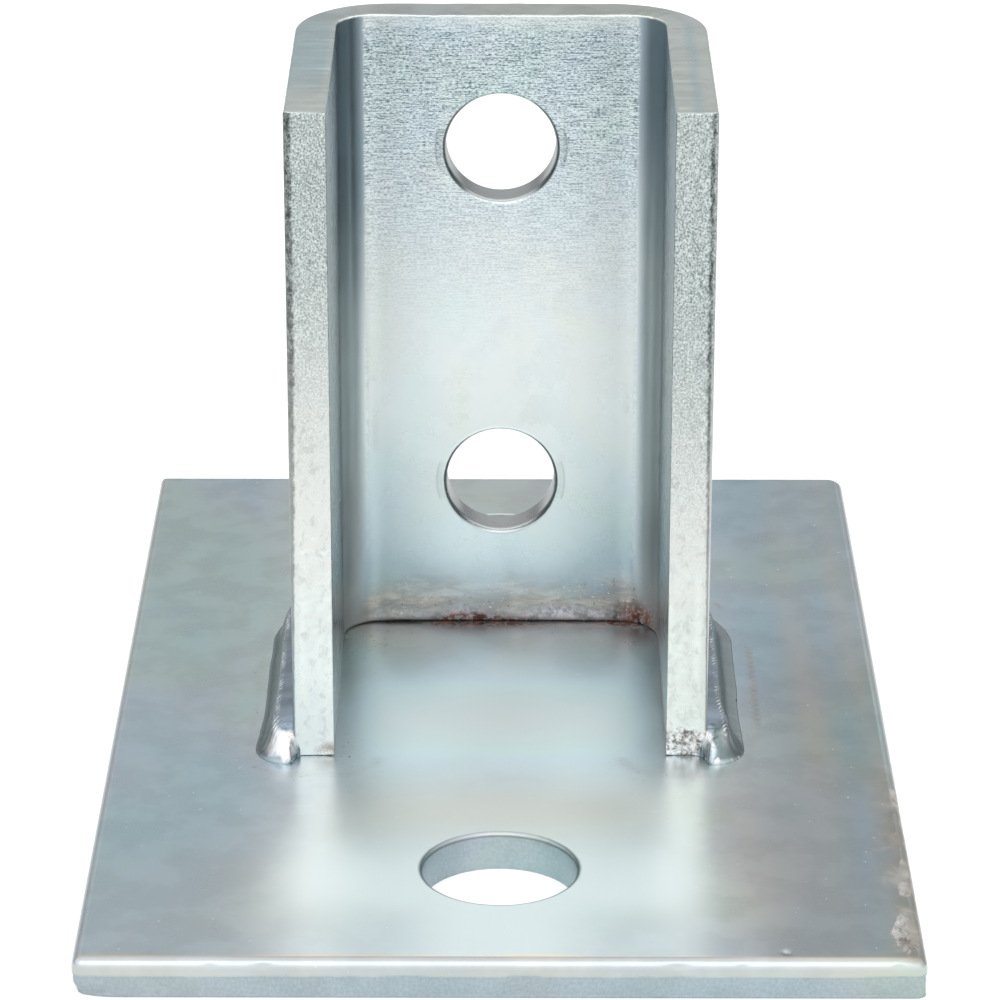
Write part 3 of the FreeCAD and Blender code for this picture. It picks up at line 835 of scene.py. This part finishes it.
def bracket_metal_marks(u, v, w, rim, inner, on_top):
    # The mill's dashes on the web, painted light on the bends, and painted shade on the bends' upper parts,
    # the flanges' inner faces, the inside of the channel towards its foot, the outer face and the top's
    # middle.
    mark = {}
    depth = w * WALL
    right = u > MIDDLE
    off = abs(u - MIDDLE)
    bend = smooth(off, BEND_NEAR - 0.6, BEND_NEAR + 2)
    flange = smooth(off, BEND_FAR - 2, BEND_FAR + 2)
    edge = smooth(off, BEND_NEAR + 3.4, BEND_NEAR + 1)
    high = smooth(v, 30, 80)
    low = smooth(v, 34, 6)
    mark["web"] = inner * edge if w < 0.5 else 0.7
    texture = smooth(v, 36, 80) * (1 - 0.5 * smooth(v, 84.3, 86.6))
    if rim in (RIM, END):
        texture *= 0.6 * on_top * smooth(depth, 0.25, 0.1)
    mark["worn"] = texture * (1 if w < 0.5 else 0.4)
    if right:
        shade_above = smooth(v, 50, 78)
        bend_light = 1
        pale = 0.85 - 0.35 * low
        flat = smooth(off, BEND_NEAR + 3.9, BEND_NEAR + 1.8)
    else:
        shade_above = smooth(v, 36, 66)
        bend_light = 1 - 0.55 * shade_above
        pale = 1 - 0.2 * low - 0.15 * high
        flat = smooth(off, BEND_NEAR + 4.6, BEND_NEAR + 2.2)
    # Painted shade on the bends higher up and on the flanges' inner faces; painted light on the rest of the
    # bends.
    mark["fold"] = inner * (bend * (1 - flange) * (0.25 * high + 0.75 * shade_above) + flange * pale)
    mark["bend"] = inner * bend * (1 - flange) * bend_light
    # Painted shade inside the channel: beside the bends, towards the foot and under the top edge, and a
    # little over the outer face and the middle of the top.
    sides = 0.28 * smooth(off, 5, BEND_NEAR) * (edge + low * (flat - edge)) * (1 - 0.8 * high)
    dim = 0.56 + 0.14 * smooth(off, 4, 13) + 0.06 * right
    on_web = smooth(off, BEND_NEAR + 5, BEND_NEAR - 1)
    painted_shade = inner * (sides + dim * low * flat + 0.16 * smooth(v, 72, 84) + 0.2 * on_web * bell(v, 6, 3.5))
    painted_shade += 0.3 if rim == FACE and w > 0.5 else 0.12 * on_top * smooth(off, 20, 12)
    mark["painted_shade"] = clamp(painted_shade)
    return mark


def bracket_edge_marks(x, y, z, u, v, w, rim, inner, on_top):
    # The flanges' sheared ends with painted shade on their rolled corners, the top face, the holes' walls and
    # the pressed marks beside the holes.
    mark = {}
    depth = w * WALL
    right = u > MIDDLE
    off = abs(u - MIDDLE)
    on_end = 1 if rim == END else 0
    ripped = smooth(v, 18, 66) if right else smooth(v, 28, 78)
    mark["shear"] = on_end * (0.04 + 0.96 * ripped)
    mark["ends"] = on_end
    mark["crown"] = on_top * smooth(off, BEND_NEAR - 2, BEND_FAR + 4)
    stripe = 0.75 * bell(depth + 0.5 * grain(u, depth, 0, 9), 2.9, 0.7)
    tan = 1 - stripe if right else smooth(y, 0, -18) + 0.6 * smooth(depth, 1.2, 0.3)
    mark["tan"] = on_top * clamp(tan)
    mark["rolled"] = 0
    if on_end:
        # Painted shade on the rolled corner; on the right flange it lies on the corner's inner half alone.
        wide = WALL - roll_width(FLANGE_SHIFT if right else 0, v, 1)
        mark["rolled"] = smooth(depth, wide - 0.05, wide + 0.12)
        if right:
            mark["rolled"] *= 1 - 0.75 * smooth(depth, 0.6 * wide + 0.4 * WALL, 0.3 * wide + 0.7 * WALL)
    elif inner:
        away, above = min((math.hypot(off, v - height), abs(v - height)) for height in WEB_HOLES)
        ear = 0.3 * smooth(away, 7.9, 8) * smooth(away, 8.85, 8.75) + 0.6 * bell(away, 8.72, 0.12)
        mark["rolled"] = ear * smooth(above, 3, 2.4) * (0.5 + 0.5 * smooth(v, 30, 80))
    mark["bore"] = mark["shade"] = 0
    if rim == BORE:
        mark["shade"] = smooth(off, 3, 5.8)
        mark["bore"] = max(smooth(depth, 0.35, 0.8), mark["shade"] * smooth(depth, 0, 0.08))
    mark["scab"] = on_end * smooth(v + 1.4 * grain(x, 0, z, 2.6), 5.2, 2.6) if right else 0
    return mark


def bracket_dirt_marks(x, u, v, w, rim, inner):
    # Scorch, rust and white deposit along the seam at the web's foot, and painted shade in the open seam
    # itself.
    mark = {}
    depth = w * WALL
    off = abs(u - MIDDLE)
    on_foot = 1 if rim == RIM and v < 1 and depth < SEAM_DEEP else 0
    inside = max(inner, on_foot)
    foot = inside * smooth(off, BEND_NEAR + 5, BEND_NEAR - 1)
    corner = inside * bell(x, 19, 3) * smooth(v, 8, 1)
    sooty = inside * bell(x, -17, 4.5) * smooth(v, 6.5, 0.5)
    rise = 1 + 0.45 * grain(x, 2, 0, 7) + 0.25 * grain(x, 8, 0, 2)
    thin = (0.6 + 0.35 * grain(x, 0, v * 2, 5)) * (0.8 + 0.5 * bell(x, 14, 7))
    burnt = foot * (bell(v, 2.3 * rise, 1.8) + 0.75 * bell(v, 4.8 * rise, 2) * thin)
    mark["scorch"] = clamp(burnt + 0.9 * corner + sooty)
    seam = foot * bell(v, 0.2, 0.8) * smooth(x, -13, -8)
    speck = 0.6 * bell(v, 1, 0.9) * smooth(depth, 3, 0.8) if rim == END and u <= MIDDLE else 0
    spots = 0.9 * foot * bell(v, 0.9, 0.6) * bell(x, -4.5, 3.2)
    rusty = seam * (0.4 + 1.3 * bell(x, -3, 5.5)) + spots + 1.2 * corner * bell(v, 1.2, 2) + speck
    mark["rust"] = clamp(rusty)
    heap = 0.3 + 0.8 * bell(x, -4.5, 2.2) + bell(x, 9, 4.5)
    thick = 0.45 + 0.5 * heap * (1 + 0.4 * grain(x, 4, 0, 1.5))
    mark["dust"] = clamp(1.6 * foot * bell(v, 1.1, thick) * heap)
    mark["spatter"] = clamp(foot * smooth(v, 9, 2) * (0.65 + 0.6 * bell(x, 15, 5)) + corner)
    # Painted shade in the open seam under the web's foot, weaker towards the bends.
    tight = smooth(off, 13, 20)
    dark = smooth(v, 0.75 - 0.3 * tight, 0.2) * (1 - 0.4 * tight) * smooth(off, BEND_FAR + 5, BEND_FAR)
    mark["painted_seam_shade"] = inside * dark if depth < SEAM_DEEP else 0
    return mark


def bracket_marks(point, spot):
    u, v, w, rim = spot
    on_top = 1 if rim == RIM and v > HEIGHT - 1.5 else 0
    inner = 1 if w < 0.5 and rim == FACE or rim == BORE and w * WALL < 0.1 else 0
    return {**bracket_metal_marks(*spot, inner, on_top), **bracket_edge_marks(*point, *spot, inner, on_top),
            **bracket_dirt_marks(point[0], *spot, inner)}


def bracket_piece():
    holes = tuple((MIDDLE, height) for height in WEB_HOLES)
    fines = (((1, 1, SHEET_RUN - 1, 9, 0.55),), ())
    sheet = make_sheet(bracket_place, BRACKET_LEVELS, bracket_loop, holes, web_radius, 144, (1.3, 2), fines)
    marks = [bracket_marks(point, spot) for point, spot in zip(sheet.points, sheet.spots)]
    make_object("folded_bracket", sheet.points, sheet.faces, "channel_bracket",
                bracket_material(), marks)


# The weld: a rippled bead that follows the outside of the bracket's foot.


STEPS_ALONG = 2100
STEPS_ACROSS = 36
RIPPLE = 0.9
SHOULDER = 0.9
NOSE = 2.2
LAP = 0.7
# Across the bead, as shares: where its flat top and its steep side end, and the height of its toe.
LEFT_ARM = (0.38, 0.93, 0.04)
RIGHT_ARM = (0.24, 0.62, 0.13)
TIP = (0.36, 0.95, 0.03)
BEAD_FOOT = {"wash": 1, "shade": 0, "painted_highlight": 0, "dust": 0}


def foot_path(along):
    # A point on the bracket's outer foot, counted from the left front end, and the direction outward.
    side = -1 if along < FOOT_RUN / 2 else 1
    reach = min(along, FOOT_RUN - along)
    if reach < FLANGE_RUN:
        return side * OUTER_HALF, reach - SEAT_HALF, side, 0
    if reach < FLANGE_RUN + math.pi / 2 * BEND_OUTSIDE:
        angle = (reach - FLANGE_RUN) / BEND_OUTSIDE
        c, s = math.cos(angle), math.sin(angle)
        return side * (BEND_CENTRE + BEND_OUTSIDE * c), BEND_CENTRE + BEND_OUTSIDE * s, side * c, s
    return side * (FOOT_RUN / 2 - reach), OUTER_HALF, 0, 1


def right_share(along):
    # 0 on the bead's left arm and 1 on its right one.
    return smooth(along, FOOT_RUN * 0.42, FOOT_RUN * 0.58)


def bead_reach(along):
    # How far the bead spreads at a place along the foot: distance to the end, inner and outer limits.
    end = min(along, FOOT_RUN - along)
    slim = 0.1 * (1 - right_share(along)) * smooth(end, 2, 18)
    width = 0.97 + 0.03 * grain(along, 2, 0, 8) + 0.03 * smooth(end, 7, 1) - slim
    leg = min(WELD_LEG, WELD_LEG * width)
    nose = clamp((NOSE - end) / (NOSE + WELD_OVERRUN))
    spread = math.sqrt(max(0, 1 - nose * nose))
    free = smooth(end, 1.1, -0.9)
    inner = -0.9 * quarter_round(SHEAR_ROLL - end, SHEAR_ROLL)
    if end < 0:
        inner = SHOULDER - (SHOULDER + LAP) * spread
    return end, leg, nose, free, inner, SHOULDER + (leg - SHOULDER) * spread


def bead_ripple(phase):
    # One ripple: a short steep front and a long back.
    t = phase - math.floor(phase)
    return t / 0.3 if t < 0.3 else (1 - t) / 0.7


def bead_mark(along, out, end, right, nose, far, ahead, crest, drop, painted_streak):
    # The washed toe, painted shade on the steep side and the ends, painted highlights on the end and the
    # crest's ripple streaks, and white dust at the right end.
    mark = {}
    left = 1 - right
    ragged = grain(along, out, 4, 1.1)
    steep = smooth(far, crest + 0.06, crest + 0.2) * (1 - smooth(far, drop - 0.1, drop + 0.08))
    mark["wash"] = (1 - ahead) * smooth(far, drop - 0.05, drop + 0.15) + 0.9 * ahead * smooth(far, 0.93, 0.98)
    turned = ahead * smooth(out + 0.5 * ragged - 3.2 * nose * left, 0.3 + 0.4 * left, 1.3 + 0.8 * left)
    toward = left * smooth(nose / max(far, 0.05), 0.45, 0.75)
    dim = right * smooth(end, 5, 1) * smooth(out + 0.4 * ragged, 1, 2)
    shade = ((1 - ahead) * steep + turned) * (1 - toward) + dim + 0.5 * ahead * smooth(ragged, 0, 0.5)
    mark["shade"] = clamp(shade)
    # Painted highlight on the end, where it faces forward.
    gleam = max(ahead * (1 - turned), toward * (0.72 + 0.5 * ragged))
    gleam *= smooth(far, 0.3, 0.45) * smooth(far + 0.15 * ragged, 0.97, 0.8)
    gleam *= 1 - 0.7 * right * smooth(far, 0.6, 0.85)
    mark["painted_highlight"] = clamp(gleam + painted_streak)
    mark["dust"] = 0.8 * right * smooth(nose, 0.15, 0.4) * smooth(far + 0.15 * ragged, 0.9, 0.98)
    return mark


def bead_ring(along):
    # One section of the bead, out from the bracket and back along the plate: points with their marks.
    held = clamp(along, 0, FOOT_RUN)
    right = right_share(along)
    end, leg, nose, free, inner, outer = bead_reach(along)
    arm = [a + (b - a) * right for a, b in zip(LEFT_ARM, RIGHT_ARM)]
    crest, drop, toe = [a + (b - a) * smooth(end, 9, 3) for a, b in zip(arm, TIP)]
    x, y, ox, oy = foot_path(held)
    y -= abs(along - held)
    peak = WELD_RISE * (0.86 + 0.04 * grain(along, 8, 0, 7)) * (1 - 0.14 * smooth(end, 7, 0))
    patch = 0.3 + 0.7 * smooth(grain(along, 0, 9, 4), -0.3, 0.3)
    ring = []
    for j in range(STEPS_ACROSS + 1):
        out = inner + (outer - inner) * j / STEPS_ACROSS
        if out > SHOULDER:
            side = (out - SHOULDER) / (leg - SHOULDER)
        else:
            side = free * ((SHOULDER - out) / (SHOULDER + LAP)) ** 1.3
        far = clamp(math.hypot(side, nose))
        ahead = nose * nose / (side * side + nose * nose + 1e-4)
        across = (1 - toe) * (1 - 0.12 * far) * (1 - smooth(far, crest, drop))
        across += toe * (1 - smooth(far, drop - 0.15, 1))
        dome = max(0, 1 - far * far) ** 0.75
        up = peak * (across + (dome - across) * ahead)
        # Ripples along the crest, a swirl on the ends and slow lumps.
        away = (out - SHOULDER) / (leg - SHOULDER) - crest
        wave = (end + 6 * away * (1 - 2 * right)) / RIPPLE + 0.5 * grain(along, away * 4, 3, 2)
        ripple = bead_ripple(wave)
        stroke = bell(away, 0, 0.11) * smooth(far, 0.95, 0.6) * (1 - ahead)
        up += 0.2 * patch * stroke * (ripple - 0.5)
        swirl = bead_ripple(4.2 * far + 0.35 * grain(along, out, 3, 1.5))
        hump = (1 - far) * 4 * far
        up += hump * (0.07 * grain(along, away * 3, 5, 3) + 0.014 * grain(along, away * 6, 2, 0.6))
        up += hump * ahead * (0.12 * grain(x + out, y, 1, 1.1) + 0.10 * (swirl - 0.5))
        point = (x + ox * out, y + oy * out + SEAT_Y, WELD_LOW[2] + clamp(up, 0, WELD_RISE))
        # Painted highlights on the steep fronts of the crest's ripples.
        painted_streak = patch * smooth(stroke, 0.25, 0.8) * smooth(ripple, 0.45, 0.8)
        ring.append((point, bead_mark(along, out, end, right, nose, far, ahead, crest, drop, painted_streak)))
    for out in (outer, inner):
        ring.append(((x + ox * out, y + oy * out + SEAT_Y, WELD_LOW[2]), BEAD_FOOT))
    return ring


def weld_piece():
    length = FOOT_RUN + 2 * WELD_OVERRUN
    pairs = []
    for k in range(STEPS_ALONG + 1):
        pairs += bead_ring(length * k / STEPS_ALONG - WELD_OVERRUN)
    count = STEPS_ACROSS + 3
    faces = []
    for first in range(0, STEPS_ALONG * count, count):
        for j in range(count):
            n = (j + 1) % count
            faces.append((first + j, first + n, first + count + n, first + count + j))
    last = STEPS_ALONG * count
    faces.append(range(count))
    faces.append(range(last, last + count)[::-1])
    points, marks = zip(*pairs)
    make_object("rippled_bead", points, faces, "weld_bead", weld_material(), marks)


plate_piece()
bracket_piece()
weld_piece()


# Floor, light and camera


FLOOR_HALF = 6
FLOOR_GREY = 0.6
FLOOR_GLOW = 0.47
# The world's light from its dimmer back to its bright front and top, and what the camera sees of it.
WORLD_DIM = 0.39
WORLD_BRIGHT = 1.42
WORLD_SEEN = 1
WHITE = (1, 1, 1)


def build_floor():
    corners = [(x * FLOOR_HALF, y * FLOOR_HALF, 0) for x, y in ((-1, -1), (1, -1), (1, 1), (-1, 1))]
    mesh = bpy.data.meshes.new("studio_floor")
    mesh.from_pydata(corners, [], [(0, 1, 2, 3)])
    floor = bpy.data.objects.new("studio_floor", mesh)
    bpy.context.scene.collection.objects.link(floor)
    nodes = Nodes(bpy.data.materials.new("pale_floor"))
    rays = nodes.new("LightPath").outputs
    seen = nodes.math("MAXIMUM", rays["Is Camera Ray"], rays["Is Glossy Ray"])
    seen = nodes.math("MAXIMUM", seen, rays["Is Transmission Ray"])
    nodes.set(Base_Color=(FLOOR_GREY,) * 3, Roughness=0.9, Specular_IOR_Level=0, Emission_Color=WHITE,
              Emission_Strength=nodes.math("MULTIPLY", seen, FLOOR_GLOW))
    mesh.materials.append(nodes.owner)


def build_world():
    world = bpy.data.worlds.new("studio")
    bpy.context.scene.world = world
    nodes = Nodes(world, "Background", "OutputWorld")
    split = nodes.new("SeparateXYZ")
    nodes.put(split.inputs[0], nodes.where["Generated"])
    toward = nodes.math("MULTIPLY_ADD", split.outputs["Y"], -0.55, split.outputs["Z"])
    pick = nodes.new("Mix")
    pick.data_type = "FLOAT"
    nodes.put(pick.inputs[0], nodes.new("LightPath").outputs["Is Camera Ray"])
    nodes.put(pick.inputs[2], nodes.span(toward, -0.35, 0.9, WORLD_DIM, WORLD_BRIGHT))
    nodes.put(pick.inputs[3], WORLD_SEEN)
    nodes.set(Color=WHITE, Strength=pick.outputs[0])


def build_lamp(name, place, size, power):
    lamp = bpy.data.lights.new(name, "AREA")
    lamp.shape = "RECTANGLE"
    lamp.size, lamp.size_y = size
    lamp.energy = power
    thing = bpy.data.objects.new(name, lamp)
    thing.location = place
    thing.rotation_euler = (Vector((0, 0, 0.04)) - Vector(place)).to_track_quat("-Z", "Y").to_euler()
    bpy.context.scene.collection.objects.link(thing)


def build_camera():
    # Fitted to the photograph: millimetres and degrees.
    place, pitch, turn, roll = (0.41, -549.4, 259.06), 22.40, 0.05, 0.084
    camera = bpy.data.cameras.new("view")
    camera.sensor_width = 36
    camera.lens = 162.54
    camera.clip_start = 0.01
    thing = bpy.data.objects.new("view", camera)
    matrix = Matrix.Rotation(math.radians(turn), 4, "Z") @ Matrix.Rotation(math.radians(90 - pitch), 4, "X")
    matrix = matrix @ Matrix.Rotation(math.radians(roll), 4, "Z")
    thing.matrix_world = Matrix.Translation(Vector(place) * MM) @ matrix
    bpy.context.scene.collection.objects.link(thing)
    bpy.context.scene.camera = thing


build_floor()
build_world()
build_lamp("key", (0, -0.85, 0.95), (1.2, 0.8), 1.8)
build_camera()
bpy.context.scene.view_settings.view_transform = "Standard"
